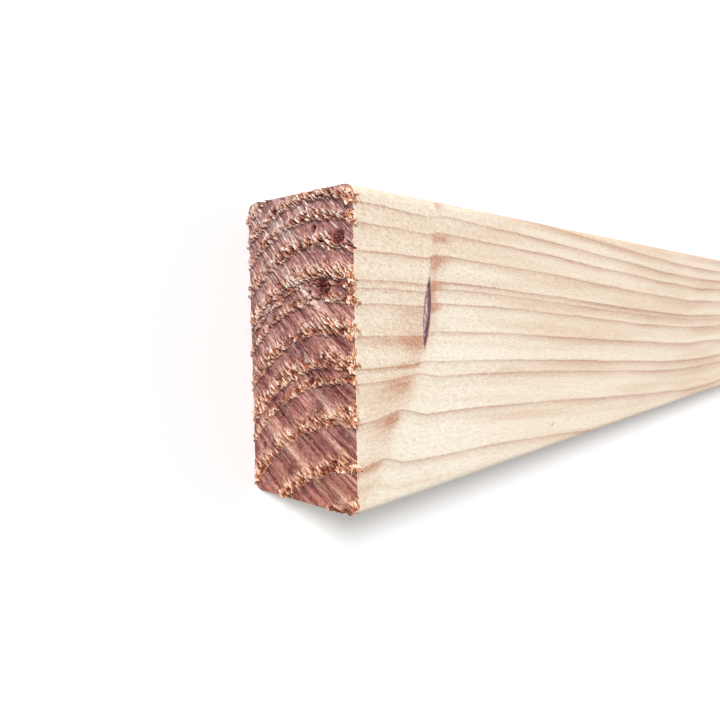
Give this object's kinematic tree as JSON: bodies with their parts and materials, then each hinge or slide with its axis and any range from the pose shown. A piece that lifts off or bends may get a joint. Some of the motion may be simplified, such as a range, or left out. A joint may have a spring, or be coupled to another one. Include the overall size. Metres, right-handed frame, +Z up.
{
  "type": "timber plank",
  "caption": "Planed softwood plank of plain rectangular section with eased long edges and square sawn ends, for framing, battening and general carpentry.",
  "frame": {"origin": "centre of the underside of the plank, on the surface that it lies on", "axes": "+X along the grain, away from the end nearest the knot; +Y across the wide face; +Z up, out of the wide face that has the knot"},
  "size_m": [2.4, 0.09, 0.045],
  "materials": {
    "planed_softwood": "planed bare softwood with fine growth ring lines, matt",
    "sawn_end_grain": "rough sawn end grain with torn fibres, matt",
    "knot_bark": "dark crumbled bark in the spike knot, matt"
  },
  "bodies": {
    "root": {"plank": "planed_softwood"}
  },
  "joints": []
}
